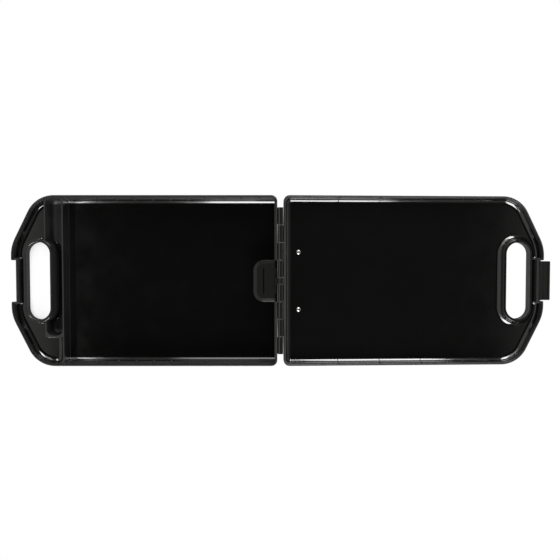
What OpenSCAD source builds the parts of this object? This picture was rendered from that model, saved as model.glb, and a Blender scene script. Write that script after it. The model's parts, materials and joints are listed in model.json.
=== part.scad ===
// Storage clipboard box: a deep tray and a shallow lid of one outline, hinged end to end,
// with a see-through handle in both halves, a snap latch and a sprung paper clip on the lid.
// The box lies open. X runs along it, the tray towards -X and the lid towards +X, and Z is up.
// The origin is the centre of the tray's underside, on the surface that the box lies on.

/* [Outline] */
// Width across the box
box_w = 236.5; // [225:0.5:290]
// Length of each half, from its hinge end to its handle end
box_len = 368; // [340:1:450]
// Straight length of the handle end
end_flat = 70; // [64:1:90]
// Radius where the straight end turns into the slanted side
shoulder_r = 54; // [30:1:80]
// Angle of the slanted side from square
slant_deg = 26.5; // [20:0.5:34]
// Radius where the slanted side turns into the long side
corner_r = 40; // [25:1:50]
// Radius of the two corners at the hinge end
hinge_corner_r = 8.5; // [6:0.5:14]

/* [Walls] */
// Depth of the tray outside
tray_h = 40; // [32:1:50]
// Depth of the lid outside
lid_h = 14; // [11:0.5:20]
// Thickness of the outer walls
wall = 3; // [2.5:0.1:4]
// Thickness of the floors and of the raised web
floor_t = 2.5; // [1.8:0.1:4]
// Gap left between the two rims when the box is shut
rim_gap = 0.3; // [0.2:0.05:0.6]

/* [Rim lip] */
// Thickness of the lip that stands on the lid's rim
lip_t = 1.2; // [1:0.1:1.6]
// Height of that lip
lip_h = 2.8; // [2:0.1:3.5]
// Clearance between the lip and the step in the tray's wall
lip_gap = 0.3; // [0.2:0.05:0.5]
// Width of each break in the lip along the long sides
lip_break = 1.6; // [1:0.1:3]
// Place of the first break, from the hinge axis
lip_break_first = 81.5; // [60:0.5:100]
// Distance from one break to the next
lip_break_pitch = 58.7; // [50:0.1:70]
// Number of breaks on each long side
lip_break_count = 4; // [1:1:4]
// Half of the length at the hinge end that has no lip
lip_open_half = 71; // [60:1:90]

/* [Lid panel] */
// Near edge of the raised field inside the lid, from the hinge axis
field_u = 34; // [32:1:60]
// Length of that field along the lid
field_len = 233; // [180:1:240]
// Width of that field
field_w = 164; // [120:1:200]
// Height of that field
field_h = 0.4; // [0.2:0.1:1]

/* [Compartments] */
// Thickness of the dividers
div_t = 2; // [1.6:0.1:3]
// Distance from the handle end to the long divider's near face
long_div_back = 71.7; // [70:0.1:90]
// Width of the pen compartment
pen_w = 22.3; // [18:0.1:24]
// Distance of the cross rib from the centre line
cross_rib_y = 76; // [68:1:90]
// Depth of the raised web below the rim
web_drop = 16; // [12:0.5:24]

/* [Grip ribs] */
// Number of small upright ribs along each long wall
rib_count = 10; // [2:1:10]
// Place of the first rib, from the hinge axis
rib_first = 30; // [20:1:40]
// Distance from one rib to the next
rib_pitch = 25; // [20:0.5:27]
// Width of a rib along the wall
rib_w = 1.6; // [1:0.1:3]
// Height of a rib off the wall
rib_d = 1.5; // [0.8:0.1:2.5]

/* [Handle slot] */
// Distance from the handle end to the centre of the slot
slot_back = 37.4; // [32:0.1:38]
// Length of the slot across the box
slot_len = 107.6; // [90:0.2:120]
// Width of the slot
slot_w = 32.4; // [28:0.2:36]
// Thickness of the collar around the slot
collar_t = 4; // [3:0.1:5]

/* [Hinge] */
// Distance from the hinge axis to the end wall of each half
hinge_gap = 4.4; // [4.2:0.1:7]
// Outer diameter of the knuckles
knuckle_d = 7.4; // [6.4:0.1:7.8]
// Diameter of the hinge pin
pin_d = 3.2; // [2.4:0.1:3.6]
// Radial clearance of a pin in its bore
pin_fit = 0.05; // [0.02:0.01:0.1]
// Length of the row of knuckles
hinge_len = 203.2; // [180:0.2:220]
// Length of the short middle knuckle
mid_knuckle = 8.9; // [6:0.1:14]
// Gap between two neighbouring knuckles
knuckle_gap = 0.5; // [0.3:0.05:1]
// Depth of the knuckle arms' tops below the hinge axis
knuckle_arm_drop = 0.5; // [0.3:0.1:1]

/* [Paper guard] */
// Width of the D-shaped guard across the box
guard_w = 58; // [50:1:70]
// Reach of the guard from the end wall
guard_reach = 30; // [24:1:40]
// Depth of the guard's top below the rim
guard_drop = 6.5; // [4:0.5:12]
// Height of the guard, down to the edge of its skirt
guard_h = 10; // [8:0.5:14]
// Thickness of the guard's top and skirt
guard_t = 2.5; // [1.8:0.1:3]
// Width of the neck that passes through the end wall
guard_neck_w = 33; // [20:1:40]
// Width of the opening in the end wall
gate_w = 57.4; // [44:0.2:70]
// Depth of that opening below the rim
gate_drop = 14; // [12:0.5:20]
// Width of the narrow slot in the top of the guard
guard_slot_w = 1.4; // [1:0.1:3]
// Length of that slot
guard_slot_len = 36; // [20:1:40]

/* [Latch] */
// Width of the notch in both handle ends
notch_w = 57.4; // [44:0.2:62]
// Depth of that notch
notch_depth = 7.2; // [6.8:0.1:10]
// Gap between the latch and each side of the notch
latch_side_gap = 1.1; // [0.5:0.1:2]
// Reach of the latch from its pin to its tip
latch_reach = 14.5; // [13:0.1:18]
// Thickness of the latch plate
latch_t = 2.4; // [2:0.1:3]
// Outer diameter of the latch barrel
latch_barrel_d = 5.8; // [5:0.1:6]
// Depth of the latch pin below the lid's rim
latch_pin_drop = 6; // [4.5:0.1:7]
// Diameter of the latch pin
latch_pin_d = 2.4; // [1.6:0.1:2.8]
// Thickness of the hook at the latch tip
hook_t = 2.5; // [2:0.1:3.5]
// Reach of the hook past the pin's centre
hook_reach = 2; // [1.4:0.1:2.6]
// Overlap of the hook and the catch rib when latched
hook_bite = 1; // [0.6:0.1:1.4]
// Height of the catch rib on the tray
catch_h = 2.6; // [2:0.1:3]
// Length of the catch rib
catch_len = 44; // [30:1:50]

/* [Paper clip] */
// Width of the clip's jaw
jaw_w = 106; // [80:1:160]
// Thickness of the clip's sheet steel
sheet_t = 1.2; // [0.8:0.1:1.5]
// Place of the pivot rod, from the hinge axis
rod_u = 27; // [25:0.5:30]
// Depth of the base plate from the rod towards the hinge
base_back = 15; // [12:0.5:18]
// Depth of the base plate from the rod towards the handle
base_front = 19; // [12:0.5:24]
// Height of the pivot rod above the lid
rod_h = 8; // [7.5:0.1:9]
// Diameter of the pivot rod
rod_d = 3; // [2.4:0.1:3.6]
// Side clearance between the jaw's cheeks and the base's ears
cheek_gap = 1; // [0.5:0.1:2]
// Distance between the two rivets
rivet_pitch = 80; // [60:1:88]
// Distance of the rivets from the rod, towards the hinge
rivet_back = 1; // [0:0.5:6]
// Diameter of the rivet shanks
rivet_d = 4; // [3:0.1:5]
// Diameter of the rivet heads
rivet_head_d = 6.6; // [6:0.1:8]
// Width of each rubber grip on the jaw's front edge
grip_w = 20; // [12:1:30]
// Thickness of rubber around the jaw's edge
grip_t = 1; // [0.8:0.1:1.2]
// Diameter of the spring wire
wire_d = 1.4; // [1:0.1:1.6]
// Number of turns in the spring
spring_turns = 9; // [5:1:12]

/* [Hidden] */
$fn = 96;
over = 1; // how far a cut runs past a face
graze = 0.005; // how far a straight run lies inside the arcs at its ends, so that they cross cleanly
clear = 0.3; // between two pieces that stay apart

// Outline, measured from the hinge axis: u along a half towards its handle, y across
half_w = box_w / 2;
end_u = hinge_gap + box_len;
slant_n = [cos(slant_deg), sin(slant_deg)];
shoulder_c = [end_u - shoulder_r, end_flat / 2];
corner_y = half_w - corner_r;
corner_u = (slant_n * shoulder_c + shoulder_r - corner_r - slant_n[1] * corner_y) / slant_n[0];
corner_c = [corner_u, corner_y];
hinge_corner_c = [hinge_gap + hinge_corner_r, half_w - hinge_corner_r];

// Where the lid lies when open: its far lower edge rests on the same surface as the tray
hinge_x = box_len / 2 + hinge_gap;
droop = asin(tray_h / norm([end_u, lid_h])) - atan(lid_h / end_u);

// Heights in the tray, and in the lid below its rim plane
tray_rim = tray_h - rim_gap / 2;
lid_rim = -rim_gap / 2;
lid_floor = -lid_h + floor_t;
web_top = tray_h - web_drop;
step_in = wall - lip_t - lip_gap;
step_drop = lid_rim + lip_h + lip_gap;
step_z = tray_h - step_drop;

// Handle slot and dividers
slot_u = end_u - slot_back;
long_div_u = end_u - long_div_back;
pen_u = long_div_u + div_t;
short_div_u = pen_u + pen_w;
grip_u = short_div_u + div_t;

// Hinge: knuckles 0 to 8 run from +Y to -Y, and the even ones stand on the tray
knuckle_r = knuckle_d / 2;
long_knuckle = (hinge_len - mid_knuckle) / 8;
pin_end_gap = 1; // from the end of the hinge pin to the end of the knuckles

// Paper guard
guard_start = hinge_gap + wall + clear;
guard_top = tray_h - guard_drop;
guard_low = guard_top - guard_h;
guard_lobe_r = guard_w / 4;
gate_floor = tray_h - gate_drop;
neck_floor = gate_floor + clear;

// Latch
notch_u = end_u - notch_depth;
latch_w = notch_w - 2 * latch_side_gap;
plate_off = 1.4; // from the pin's axis to the latch plate
latch_skin = plate_off + latch_t;
latch_pin_u = end_u - latch_skin;
latch_heel = latch_pin_u - notch_u - clear;
hook_play = 0.4; // between the hook and the catch rib when latched
catch_out = latch_pin_u - hook_reach + hook_bite;
catch_low = latch_reach - hook_t - latch_pin_drop - hook_play;
latch_pin_seat = 2.3; // how far each end of the pin sits in the lid
latch_pin_len = notch_w + 2 * latch_pin_seat;
latch_pin_play = 0.4; // end play of the pin in its bore

// Clip
base_w = jaw_w - 2 * sheet_t - 2 * cheek_gap;
rivet_u = rod_u - rivet_back;
rivet_head_h = 1.8;
eye_r = rod_d / 2 + 2.5;
eye_edge = eye_r - 0.5; // where an ear's or cheek's straight sides meet its eye
ear_foot = 8; // half the length of an ear's foot
grip_r = sheet_t / 2 + grip_t;
grip_share = 0.65; // of the jaw's last bend, what the grips cover
rod = [rod_u, rod_h];
// Edge view of the jaw: the curled lever, the bend over the rod and the lip that presses the paper
jaw_line = [
  rod + [-18, 7.6],
  rod + [-13.5, 4.8],
  rod + [0, 5.6],
  rod + [11, 1.6],
  rod + [22.5, -5.4],
  [rod_u + 26.5, grip_r + clear]
];
rod_head_t = 1;
rod_head_over = 1; // how far a head stands out past the rod all round
rod_play = 0.5; // between a head and the jaw's cheek
coil_r = rod_d / 2 + wire_d / 2 + 0.9;
wire_pitch = wire_d + 0.5;
coil_steps = 14;
coil_len = wire_pitch * (spring_turns + 0.5);

// Two halves share this outline; inset shrinks it evenly all round
module outline(inset = 0) {
  for (side = [-1, 1]) {
    translate([corner_u, side * corner_y]) circle(r = corner_r - inset);
    translate([shoulder_c[0], side * shoulder_c[1]]) circle(r = shoulder_r - inset);
    translate([hinge_corner_c[0], side * hinge_corner_c[1]]) circle(r = hinge_corner_r - inset);
  }
  in = inset + graze;
  upper = [
    [hinge_gap + in, hinge_corner_c[1]],
    [hinge_corner_c[0], half_w - in],
    [corner_u, half_w - in],
    corner_c + (corner_r - in) * slant_n,
    shoulder_c + (shoulder_r - in) * slant_n,
    [end_u - in, shoulder_c[1]]
  ];
  lower = [for (i = [len(upper) - 1:-1:0]) [upper[i][0], -upper[i][1]]];
  polygon(concat(upper, lower));
}

// The outline with the latch notch taken out of its handle end
module half_plan(inset = 0) {
  difference() {
    outline(inset);
    translate([notch_u - inset, -notch_w / 2 - inset])
      square([notch_depth + inset + over, notch_w + 2 * inset]);
  }
}

// A slot with round ends, long across the box
module obround(length, width) {
  straight = length - width;
  square([width, straight], center = true);
  for (side = [-1, 1]) translate([0, side * straight / 2]) circle(d = width);
}

module slot_plan(grow = 0) {
  translate([slot_u, 0]) obround(slot_len + 2 * grow, slot_w + 2 * grow);
}

// Everything of a half between two distances from the hinge axis
module between(u0, u1, y0 = -box_w, y1 = box_w) {
  translate([u0, y0]) square([u1 - u0, y1 - y0]);
}

// Floor areas of the tray
module main_plan() {
  intersection() {
    half_plan(wall);
    between(0, long_div_u);
  }
}

module pen_plan() {
  difference() {
    intersection() {
      half_plan(wall);
      between(pen_u, short_div_u, -cross_rib_y, box_w);
    }
    slot_plan(collar_t);
  }
}

module raised_plan() {
  intersection() {
    half_plan(wall);
    union() {
      between(grip_u, end_u);
      between(pen_u, end_u, -box_w, -cross_rib_y - div_t);
    }
  }
}

module in_tray() {
  translate([hinge_x, 0, 0]) mirror([1, 0, 0]) children();
}

module in_lid() {
  translate([hinge_x, 0, tray_h]) rotate([0, droop, 0]) children();
}

// Turns a shape drawn upwards onto the lid's outer face
module on_lid_back() {
  translate([0, 0, -lid_h]) mirror([0, 0, 1]) children();
}

// A round bar along Y, centred at y
module bar_y(d, length, y = 0) {
  translate([0, y, 0]) rotate([90, 0, 0]) cylinder(d = d, h = length, center = true);
}

// Middle and length of knuckle i
function knuckle_len(i) = i == 4 ? mid_knuckle : long_knuckle;
function knuckle_y(i) =
  i == 4 ? 0 :
  i < 4 ? hinge_len / 2 - (i + 0.5) * long_knuckle :
  -hinge_len / 2 + (8.5 - i) * long_knuckle;

// A knuckle at the origin, its arm reaching the wall at +X
module knuckle(i) {
  length = knuckle_len(i) - knuckle_gap;
  difference() {
    translate([0, knuckle_y(i), 0]) {
      bar_y(knuckle_d, length);
      translate([0, -length / 2, -knuckle_r])
        cube([hinge_gap + wall / 2, length, knuckle_r - knuckle_arm_drop]);
    }
    bar_y(pin_d + 2 * pin_fit, hinge_len + 2 * over);
  }
}

module side_ribs() {
  depth = rib_d + over;
  for (side = [-1, 1], i = [0:rib_count - 1])
    translate([rib_first + i * rib_pitch, side * (half_w - wall - rib_d + depth / 2), floor_t - over])
      linear_extrude(step_z - floor_t + over) square([rib_w, depth], center = true);
}

// The catch rib, which the latch hooks under
module catch_rib() {
  translate([notch_u - over, -catch_len / 2, tray_h - catch_low])
    cube([catch_out - notch_u + over, catch_len, catch_h]);
}

module tray_shell() {
  color("#141414") in_tray() {
    difference() {
      linear_extrude(tray_rim) half_plan();
      translate([0, 0, floor_t]) linear_extrude(tray_h) main_plan();
      translate([0, 0, floor_t]) linear_extrude(tray_h) pen_plan();
      translate([0, 0, web_top]) linear_extrude(tray_h) difference() {
        raised_plan();
        slot_plan(collar_t);
      }
      // hollow under the raised web
      translate([0, 0, -over]) linear_extrude(web_top - floor_t + over) raised_plan();
      translate([0, 0, -over]) linear_extrude(tray_h + 2 * over) slot_plan();
      // step round the inside of the rim, for the lid's lip
      // and the dividers are no taller than that step
      translate([0, 0, step_z]) linear_extrude(step_drop + over) difference() {
        half_plan(step_in);
        slot_plan(collar_t);
      }
      // opening in the end wall for the paper guard
      translate([0, -gate_w / 2, gate_floor]) cube([hinge_gap + wall + over / 2, gate_w, gate_drop + over]);
    }
    side_ribs();
    catch_rib();
    for (i = [0, 2, 6, 8]) translate([0, 0, tray_h]) knuckle(i);
  }
}

// Half an oval against the end wall
module guard_plan(inset = 0) {
  translate([guard_start, 0]) {
    for (side = [-1, 1])
      translate([guard_reach - guard_lobe_r, side * guard_lobe_r]) circle(r = guard_lobe_r - inset);
    translate([inset, -guard_w / 2 + inset])
      square([guard_reach - guard_lobe_r - inset, guard_w - 2 * inset]);
    translate([inset, -guard_lobe_r]) square([guard_reach - 2 * inset, 2 * guard_lobe_r]);
  }
}

// A fixed hood that reaches in over the paper. Its knuckle holds it on the hinge pin, and its neck sits in
// the opening of the end wall.
module paper_guard() {
  arm_w = mid_knuckle - knuckle_gap;
  color("#242424") in_tray() {
    difference() {
      union() {
        translate([0, 0, guard_low]) linear_extrude(guard_h) guard_plan();
        translate([hinge_gap, -guard_neck_w / 2, neck_floor])
          cube([guard_reach / 2, guard_neck_w, guard_top - neck_floor]);
      }
      // hollow from below
      translate([0, 0, guard_low - over]) linear_extrude(guard_h - guard_t + over) guard_plan(guard_t);
      translate([guard_start + guard_reach / 2, -guard_slot_len / 2, guard_top - guard_t - over])
        cube([guard_slot_w, guard_slot_len, guard_t + 2 * over]);
    }
    translate([0, 0, tray_h]) knuckle(4);
    // arm of the middle knuckle, down to the neck
    translate([hinge_gap, -arm_w / 2, neck_floor]) cube([wall, arm_w, tray_rim - neck_floor]);
  }
}

module hinge_pin() {
  color("silver") translate([hinge_x, 0, tray_h]) bar_y(pin_d, hinge_len - 2 * pin_end_gap);
}

// Plan of the lip on the lid's rim, with its breaks
module lip_plan() {
  difference() {
    half_plan(wall - lip_t);
    half_plan(wall);
    between(0, hinge_gap + hinge_corner_r, -lip_open_half, lip_open_half);
    translate([notch_u - wall - over, -notch_w / 2 - wall - over])
      square([notch_depth + wall + 2 * over, notch_w + 2 * wall + 2 * over]);
    for (i = [0:lip_break_count - 1])
      translate([lip_break_first + i * lip_break_pitch, 0]) square([lip_break, box_w], center = true);
  }
}

module lid_shell() {
  color("#141414") in_lid() {
    difference() {
      union() {
        translate([0, 0, -lid_h]) linear_extrude(lid_h + lid_rim) half_plan();
        translate([0, 0, lid_rim - over]) linear_extrude(lip_h + over) lip_plan();
      }
      translate([0, 0, lid_floor]) linear_extrude(lid_h) difference() {
        half_plan(wall);
        slot_plan(collar_t);
      }
      translate([0, 0, -lid_h - over]) linear_extrude(lid_h + 2 * over) slot_plan();
      translate([latch_pin_u, 0, -latch_pin_drop])
        bar_y(latch_pin_d + 2 * pin_fit, latch_pin_len + latch_pin_play);
      for (side = [-1, 1])
        translate([rivet_u, side * rivet_pitch / 2, -lid_h - over]) cylinder(d = rivet_d, h = lid_h);
    }
    translate([field_u, -field_w / 2, lid_floor - over]) cube([field_len, field_w, field_h + over]);
    for (i = [1, 3, 5, 7]) knuckle(i);
  }
}

// The latch lies open: its plate points away from the lid, and its hook stands up
module latch_flap() {
  color("#2a2a2a") in_lid() translate([latch_pin_u, 0, -latch_pin_drop]) {
    difference() {
      union() {
        bar_y(latch_barrel_d, latch_w);
        translate([0, -latch_w / 2, -latch_skin]) cube([latch_reach, latch_w, latch_t]);
        // root under the barrel; its heel meets the notch wall and stops the latch when open
        translate([-latch_heel, -latch_w / 2, -latch_skin])
          cube([latch_heel + latch_barrel_d / 2, latch_w, latch_t]);
        translate([-latch_barrel_d / 2, -latch_w / 2, -latch_skin])
          cube([latch_barrel_d, latch_w, latch_skin]);
        translate([latch_reach - hook_t, -latch_w / 2, -latch_skin])
          cube([hook_t, latch_w, latch_skin + hook_reach]);
      }
      bar_y(latch_pin_d + 2 * pin_fit, latch_w + 2 * over);
    }
  }
}

module latch_pin() {
  color("silver") in_lid() translate([latch_pin_u, 0, -latch_pin_drop]) bar_y(latch_pin_d, latch_pin_len);
}

// Edge view of bent sheet: straight runs with round bends, as thick as t
module sheet_line(points, t) {
  for (i = [0:len(points) - 2]) {
    step = points[i + 1] - points[i];
    translate(points[i]) rotate(atan2(step[1], step[0]))
      translate([0, graze - t / 2]) square([norm(step), t - 2 * graze]);
  }
  for (p = points) translate(p) circle(d = t, $fn = 32);
}

// Stands an edge view up, so that its drawing's height is +Z and it is w wide along Y
module across(w, y = 0) {
  translate([0, y + w / 2, 0]) rotate([90, 0, 0]) linear_extrude(w) children();
}

// An ear or cheek that carries the rod, seen from the side: an eye, and a web from it to the foot
module ear_plan(foot) {
  difference() {
    union() {
      translate(rod) circle(r = eye_r);
      polygon(concat([rod - [eye_edge, 0], rod + [eye_edge, 0]], foot));
    }
    translate(rod) circle(d = rod_d + 2 * pin_fit);
  }
}

module clip_base() {
  color("silver") in_lid() on_lid_back() {
    difference() {
      translate([rod_u - base_back, -base_w / 2, 0]) cube([base_back + base_front, base_w, sheet_t]);
      for (side = [-1, 1])
        translate([rivet_u, side * rivet_pitch / 2, -over]) cylinder(d = rivet_d, h = sheet_t + 2 * over);
    }
    for (side = [-1, 1])
      across(sheet_t, side * (base_w - sheet_t) / 2)
        ear_plan([[rod_u + ear_foot, sheet_t / 2], [rod_u - ear_foot, sheet_t / 2]]);
  }
}

module clip_jaw() {
  color("silver") in_lid() on_lid_back() {
    across(jaw_w) sheet_line(jaw_line, sheet_t);
    for (side = [-1, 1])
      across(sheet_t, side * (jaw_w - sheet_t) / 2) ear_plan([jaw_line[3], jaw_line[2], jaw_line[1]]);
  }
}

module jaw_grips() {
  edge = [jaw_line[5] + grip_share * (jaw_line[4] - jaw_line[5]), jaw_line[5]];
  color("#1c1c1c") in_lid() on_lid_back()
    for (side = [-1, 1])
      across(grip_w, side * (jaw_w - grip_w) / 2) difference() {
        sheet_line(edge, 2 * grip_r);
        sheet_line(jaw_line, sheet_t);
      }
}

module clip_rod() {
  color("silver") in_lid() on_lid_back() translate([rod_u, 0, rod_h]) {
    bar_y(rod_d, jaw_w + 2 * rod_play);
    for (side = [-1, 1])
      bar_y(rod_d + 2 * rod_head_over, rod_head_t, side * (jaw_w / 2 + rod_play + rod_head_t / 2));
  }
}

// Centre line of the spring from the rod's axis: a leg on the base, the coil, a leg under the lever
function spring_path() = concat(
  [[-13, -1, -rod_h + sheet_t + wire_d / 2 + 0.1], [-8, -1, -5]],
  [for (i = [0:spring_turns * coil_steps + coil_steps / 2])
    let (turn = 270 + 360 * i / coil_steps)
    [coil_r * cos(turn), wire_pitch * i / coil_steps, coil_r * sin(turn)]],
  [[-8, coil_len + 1, coil_r], [-12.5, coil_len + 1, coil_r]]
);

function unit(v) = v / norm(v);

// One ring of the wire at point i, square to the path
function wire_ring(path, i, r, sides) =
  let (
    ahead = unit(path[min(i + 1, len(path) - 1)] - path[max(i - 1, 0)]),
    across_dir = unit(cross(ahead, [0, 1, 0.001])),
    up_dir = cross(across_dir, ahead)
  )
  [for (k = [0:sides - 1])
    let (turn = 360 * k / sides)
    path[i] + r * (cos(turn) * across_dir + sin(turn) * up_dir)];

module swept_wire(path, d, sides = 8) {
  rings = [for (i = [0:len(path) - 1]) each wire_ring(path, i, d / 2, sides)];
  skin = [for (i = [0:len(path) - 2], k = [0:sides - 1])
    [i * sides + k, i * sides + (k + 1) % sides, (i + 1) * sides + (k + 1) % sides, (i + 1) * sides + k]];
  first = [for (k = [sides - 1:-1:0]) k];
  last = [for (k = [0:sides - 1]) (len(path) - 1) * sides + k];
  polyhedron(rings, concat([first], skin, [last]));
}

module clip_spring() {
  color("gray") in_lid() on_lid_back()
    translate([rod_u, -coil_len / 2, rod_h]) swept_wire(spring_path(), wire_d);
}

// A domed rivet head of the given radius, flat side down
module rivet_head(r, h) {
  rise = (r * r + h * h) / (2 * h);
  intersection() {
    translate([0, 0, h - rise]) sphere(r = rise);
    cylinder(r = r, h = h);
  }
}

module clip_rivets() {
  color("silver") in_lid() for (side = [-1, 1]) translate([rivet_u, side * rivet_pitch / 2, 0]) {
    translate([0, 0, -lid_h - sheet_t]) cylinder(d = rivet_d, h = floor_t + sheet_t);
    translate([0, 0, lid_floor]) rivet_head(rivet_head_d / 2, rivet_head_h);
    translate([0, 0, -lid_h - sheet_t]) mirror([0, 0, 1]) rivet_head(rivet_head_d / 2, rivet_head_h);
  }
}

tray_shell();
paper_guard();
hinge_pin();
lid_shell();
latch_flap();
latch_pin();
clip_base();
clip_jaw();
jaw_grips();
clip_rod();
clip_spring();
clip_rivets();
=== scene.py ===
"""Looks of the storage clipboard box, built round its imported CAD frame.

The box is two halves of one outline, hinged end to end: a deep tray and a shallow lid, both of
black moulded plastic. Every new piece is modelled in millimetres in its own half, from the hinge
axis (u), across the box (y) and up (z), and is then set into the frame.
"""

import json
import math

import bmesh
import bpy
from mathutils import Matrix, Vector


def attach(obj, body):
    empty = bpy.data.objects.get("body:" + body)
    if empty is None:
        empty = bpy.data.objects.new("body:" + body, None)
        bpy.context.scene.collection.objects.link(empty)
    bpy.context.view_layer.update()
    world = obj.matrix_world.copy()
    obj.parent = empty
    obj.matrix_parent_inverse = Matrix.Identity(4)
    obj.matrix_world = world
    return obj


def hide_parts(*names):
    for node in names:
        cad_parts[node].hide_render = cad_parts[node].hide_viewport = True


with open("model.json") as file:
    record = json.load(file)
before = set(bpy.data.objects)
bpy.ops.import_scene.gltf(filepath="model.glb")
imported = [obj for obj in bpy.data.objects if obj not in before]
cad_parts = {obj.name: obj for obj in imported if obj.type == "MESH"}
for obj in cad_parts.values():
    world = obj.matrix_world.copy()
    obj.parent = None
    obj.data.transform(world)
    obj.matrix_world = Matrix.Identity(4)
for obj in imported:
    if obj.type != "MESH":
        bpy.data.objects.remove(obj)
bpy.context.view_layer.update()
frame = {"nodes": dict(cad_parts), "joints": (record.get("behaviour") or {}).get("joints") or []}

# ---------------------------------------------------------------------------
# Sizes in millimetres
# ---------------------------------------------------------------------------
MM = 0.001  # in metres

# the outline that both halves share: u runs from the hinge axis to the handle end, y across
HALF_W = 118.24
HINGE_GAP = 4.4
END_U = 372.39
END_FLAT = 70.0
SLANT = math.radians(26.5)
SHOULDER_R = 54.0
CORNER_R = 40.0
HINGE_CORNER_R = 8.5
LEAST_CORNER_R = 0.3

WALL = 3.0
# how far a moulded wall leans over its height
DRAFT = 0.6
LID_DRAFT = 0.4
NOTCH_DRAFT = 0.2
PEN_BLOCK_DRAFT = 0.3

# heights in the tray, over its underside
TRAY_H = 40.0
TRAY_RIM = 39.85
STEP_Z = 37.05
TRAY_FLOOR = 2.5
WEB_TOP = 24.0
WEB_LOW = 21.5
GATE_FLOOR = 26.0
GUARD_LOW = 23.5

# depth of the lid, and heights in it over the hinge axis
LID_H = 14.0
LID_RIM = -0.15
LID_FLOOR = -11.5
LIP_TOP = 2.65

# the step inside the tray's rim, and the lid's lip that drops into it
STEP_IN = 1.5
LIP_IN = 1.8
LIP_OPEN_HALF = 71.0
LIP_BREAKS = [81.5 + 58.7 * i for i in range(4)]
LIP_BREAK_HALF = 0.8
LIP_BREAK_SPAN = (112.0, 117.0)

# fins in the lid's wall behind the breaks of its lip, and their feet on its floor
FIN_HALF = 0.6
FIN_SPAN = (113.7, 116.0)
FIN_FOOT_SPAN = (110.2, 115.9)

# on the lid's floor: the ends and sides of a faintly raised field, and marks as (u, y, radius)
FIELD = (34, 267, -82, 82)
EJECTOR_MARKS = [(19.5, 0.0, 4.5), (303.5, 34.5, 5.0), (303.5, -34.5, 5.0), (340.0, 84.0, 4.5)]

# near and far faces of the tray's dividers
DIVIDER = (300.7, 302.7)
SHORT_DIVIDER = (325.0, 327.0)
CROSS_RIB = (-78.0, -76.0)

# small upright ribs along both sides of the main compartment
RIBS = [30 + 25 * i for i in range(10)]
RIB_HALF = 1.1
RIB_SPAN = (113.3, 116.5)
RIB_FOOT = 1.5

# the handle slot and the collar round it
SLOT_U = 335.0
SLOT_HALF_W = 16.2
SLOT_HALF_L = 53.8
COLLAR_T = 4.0
COLLAR_HALF_W = SLOT_HALF_W + COLLAR_T
COLLAR_HALF_L = SLOT_HALF_L + COLLAR_T

# the latch notch in the handle end, and the rib in it that the latch hooks under
NOTCH_HALF = 28.7
NOTCH_U = 365.2
NOTCH_R = 1.0
CATCH_U = 366.2

# the hinge
KNUCKLES = 9
MIDDLE_KNUCKLE = 4  # the short one, counted from 0
KNUCKLE_R = 3.69
PIN_BORE_R = 1.65
PIN_BORE_HALF = 110
HINGE_LEN = 203.2
MID_KNUCKLE = 8.9
KNUCKLE_GAP = 0.5
ARM = (0.5, 5.4)

# the gate in the tray's end wall, and the guard that reaches through it over the paper
GATE_HALF = 28.7
GUARD_START = 7.7
GUARD_TIP = 37.7
GUARD_HALF = 29.0
GUARD_H = 10.0
GUARD_LOBE_R = 14.5
GUARD_WALL = 2.5
GUARD_NECK = (4.4, 21.0)
GUARD_NECK_HALF = 16.5
GUARD_SLOT = (22.7, 24.1)
GUARD_SLOT_HALF = 18
GUARD_RISER = (4.5, 7.3)

# the latch: its pin in the lid, and what is about the pin
LATCH_PIN = (368.6, -6.0)
LATCH_HALF = 27.6
LATCH_PLATE = (-2.6, 14.0)
LATCH_HOOK = (12.1, 14.45)
LATCH_ROOT = (-2.75, 2.75)
LATCH_BARREL_R = 2.9
LATCH_BORE_R = 1.25

# the paper clip's rivets and its sheet steel
RIVET_U = 26.0
RIVET_Y = 40.0
RIVET_R = 3.3
CLIP_SHEET = 1.2

# rounds where a wall meets a floor
FILLET = 7.5
END_FILLET = 1.2
COLLAR_FILLET = 5.0
WEB_FILLET = 8.0
FOOT_FILLET = 2.2
LID_FILLET = 7.5
LID_COLLAR_FILLET = 8.0
LID_NOTCH_FILLET = 3.5

# rounds of outer edges
FLARE = 0.2
TRAY_FOOT_R = 1.2
TRAY_RIM_R = 0.5
LID_FOOT_R = 1.5
LID_RIM_R = 0.4
LIP_R = 0.3
BAR_END_R = 0.4

# how tools reach past what they cut or join, so that no sliver is left
PAST = 0.02
SUNK = 0.5
BEFORE_DIVIDER = 280
PAST_SIDE = 130

ARC_STEP = 4.5  # degrees in one step of a round corner
CREASE = math.radians(32)  # edges sharper than this stay hard

# ---------------------------------------------------------------------------
# Places of the two halves in the frame
# ---------------------------------------------------------------------------
joints = {joint["name"]: joint for joint in frame["joints"]}
hinge = Vector(joints["lid_hinge"]["pos_m"])
droop = math.radians(joints["lid_hinge"]["range_deg"][1] - 180)
IN_TRAY = Matrix.Translation((hinge.x, 0, 0)) @ Matrix.Diagonal((-MM, MM, MM, 1))
IN_LID = Matrix.Translation(hinge) @ Matrix.Rotation(droop, 4, "Y") @ Matrix.Scale(MM, 4)
AS_PLACED = Matrix.Identity(4)  # for copies of CAD nodes, which are in the frame already

# finishes of a moulded half, by their number among its materials
POLISHED, DRAWN_AND_SHEEN, SOFT_AND_SHADED = range(3)

UPRIGHT = 0.25  # the normal of an upright face rises less than this
ENDWAYS = 0.9  # the normal of a face towards the handle runs along the box more than this


# ---------------------------------------------------------------------------
# Modelling
# ---------------------------------------------------------------------------
def bend(radius, start, end, steps=4):
    """Steps of a round in a wall, as (inset, rise). The wall's slope turns from start to end, in
    degrees, where 0 leans flat outwards, 90 stands upright and 180 leans flat inwards."""
    way = 1 if end > start else -1
    slopes = [math.radians(start + (end - start) * i / steps) for i in range(steps + 1)]
    return [
        (-way * radius * (math.sin(b) - math.sin(a)), way * radius * (math.cos(a) - math.cos(b)))
        for a, b in zip(slopes, slopes[1:])
    ]


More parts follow.
